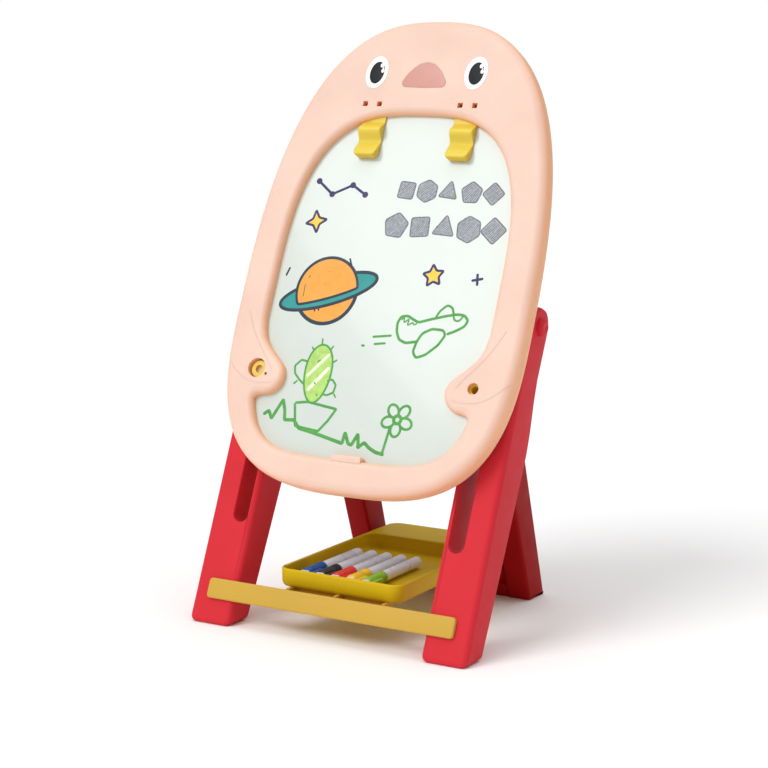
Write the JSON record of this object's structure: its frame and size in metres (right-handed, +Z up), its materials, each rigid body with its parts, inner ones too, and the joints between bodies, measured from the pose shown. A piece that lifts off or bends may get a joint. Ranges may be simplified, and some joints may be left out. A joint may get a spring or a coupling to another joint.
{
  "type": "kids easel",
  "caption": "Children's tabletop easel: oval double-sided drawing board with a friendly animal face, sliding on a folding A-frame stand with a marker tray.",
  "frame": {"origin": "on the floor, under the middle of the stand's footprint", "axes": "+X to the right across the board, -Y the side the whiteboard faces, +Z up"},
  "size_m": [0.336, 0.3, 0.6203],
  "materials": {
    "peach_plastic": "satin moulded plastic",
    "white_panel": "glossy dry-erase board",
    "chalk_panel": "matt chalkboard",
    "nose_print": "satin inlay",
    "white_print": "satin inlay",
    "black_print": "gloss inlay",
    "yellow_plastic": "semi-gloss moulded plastic",
    "steel": "zinc plated",
    "red_plastic": "satin moulded plastic",
    "golden_plastic": "satin moulded plastic",
    "marker_barrel": "smooth",
    "marker_blue": "smooth",
    "marker_black": "smooth",
    "marker_red": "smooth",
    "marker_yellow": "smooth",
    "marker_green": "smooth",
    "white_plastic": "smooth"
  },
  "bodies": {
    "front_stand": {"front_leg_left": "red_plastic", "front_leg_right": "red_plastic", "front_bar": "golden_plastic", "bar_screws": "steel", "hinge_axle": "steel", "hinge_caps": "red_plastic", "hinge_spacers": "steel"},
    "rear_stand": {"rear_leg_left": "red_plastic", "rear_leg_right": "red_plastic", "rear_cross_panel": "red_plastic", "panel_screws": "steel"},
    "board": {"front_frame": "peach_plastic", "rear_frame": "peach_plastic", "whiteboard": "white_panel", "chalkboard": "chalk_panel", "nose": "nose_print", "eye_left": "white_print", "eye_right": "white_print", "pupil_left": "black_print", "pupil_right": "black_print", "clip_pin_left": "steel", "clip_pin_right": "steel", "frame_screws": "steel"},
    "clip_left": {"clip_left": "yellow_plastic"},
    "clip_right": {"clip_right": "yellow_plastic"},
    "lock_pin_left": {"lock_pin_left": "yellow_plastic"},
    "lock_pin_right": {"lock_pin_right": "yellow_plastic"},
    "tray": {"tray": "golden_plastic"},
    "marker_1": {"marker_barrel_1": "marker_barrel", "marker_nib_1": "marker_blue"},
    "marker_cap_1": {"marker_cap_1": "marker_blue", "cap_end_1": "white_plastic"},
    "marker_2": {"marker_barrel_2": "marker_barrel", "marker_nib_2": "marker_black"},
    "marker_cap_2": {"marker_cap_2": "marker_black", "cap_end_2": "white_plastic"},
    "marker_3": {"marker_barrel_3": "marker_barrel", "marker_nib_3": "marker_red"},
    "marker_cap_3": {"marker_cap_3": "marker_red", "cap_end_3": "white_plastic"},
    "marker_4": {"marker_barrel_4": "marker_barrel", "marker_nib_4": "marker_yellow"},
    "marker_cap_4": {"marker_cap_4": "marker_yellow", "cap_end_4": "white_plastic"},
    "marker_5": {"marker_barrel_5": "marker_barrel", "marker_nib_5": "marker_green"},
    "marker_cap_5": {"marker_cap_5": "marker_green", "cap_end_5": "white_plastic"}
  },
  "joints": [
    {"name": "rear_fold", "type": "hinge", "parent": "front_stand", "child": "rear_stand", "pos_m": [0, 0.00242, 0.3157], "axis": [1, 0, 0], "range_deg": [-41, 0]},
    {"name": "board_height", "type": "slide", "parent": "front_stand", "child": "board", "axis": [0, 0.3827, 0.9239], "range_m": [-0.045, 0]},
    {"name": "tray_lift", "type": "slide", "parent": "front_stand", "child": "tray", "axis": [0, 0, 1], "range_m": [0, 0.015]},
    {"name": "clip_left_open", "type": "hinge", "parent": "board", "child": "clip_left", "pos_m": [-0.054, 0.04328, 0.52933], "axis": [1, 0, 0], "range_deg": [-10, 0], "stiffness_Nm_per_rad": 0.08, "springref_deg": 5.73},
    {"name": "lock_pin_left_turn", "type": "hinge", "parent": "board", "child": "lock_pin_left", "pos_m": [-0.126, -0.04706, 0.24852], "axis": [0, -0.9239, 0.3827], "range_deg": [0, 90]},
    {"name": "clip_right_open", "type": "hinge", "parent": "board", "child": "clip_right", "pos_m": [0.054, 0.04328, 0.52933], "axis": [1, 0, 0], "range_deg": [-10, 0], "stiffness_Nm_per_rad": 0.08, "springref_deg": 5.73},
    {"name": "lock_pin_right_turn", "type": "hinge", "parent": "board", "child": "lock_pin_right", "pos_m": [0.126, -0.04706, 0.24852], "axis": [0, -0.9239, 0.3827], "range_deg": [0, 90]},
    {"name": "marker_1_lift", "type": "slide", "parent": "tray", "child": "marker_cap_1", "axis": [0, 0, 1], "range_m": [0, 0.02]},
    {"name": "marker_1_uncap", "type": "slide", "parent": "marker_cap_1", "child": "marker_1", "axis": [0, 1, 0], "range_m": [0, 0.03]},
    {"name": "marker_2_lift", "type": "slide", "parent": "tray", "child": "marker_cap_2", "axis": [0, 0, 1], "range_m": [0, 0.02]},
    {"name": "marker_2_uncap", "type": "slide", "parent": "marker_cap_2", "child": "marker_2", "axis": [0, 1, 0], "range_m": [0, 0.03]},
    {"name": "marker_3_lift", "type": "slide", "parent": "tray", "child": "marker_cap_3", "axis": [0, 0, 1], "range_m": [0, 0.02]},
    {"name": "marker_3_uncap", "type": "slide", "parent": "marker_cap_3", "child": "marker_3", "axis": [0, 1, 0], "range_m": [0, 0.03]},
    {"name": "marker_4_lift", "type": "slide", "parent": "tray", "child": "marker_cap_4", "axis": [0, 0, 1], "range_m": [0, 0.02]},
    {"name": "marker_4_uncap", "type": "slide", "parent": "marker_cap_4", "child": "marker_4", "axis": [0, 1, 0], "range_m": [0, 0.03]},
    {"name": "marker_5_lift", "type": "slide", "parent": "tray", "child": "marker_cap_5", "axis": [0, 0, 1], "range_m": [0, 0.02]},
    {"name": "marker_5_uncap", "type": "slide", "parent": "marker_cap_5", "child": "marker_5", "axis": [0, 1, 0], "range_m": [0, 0.03]}
  ]
}
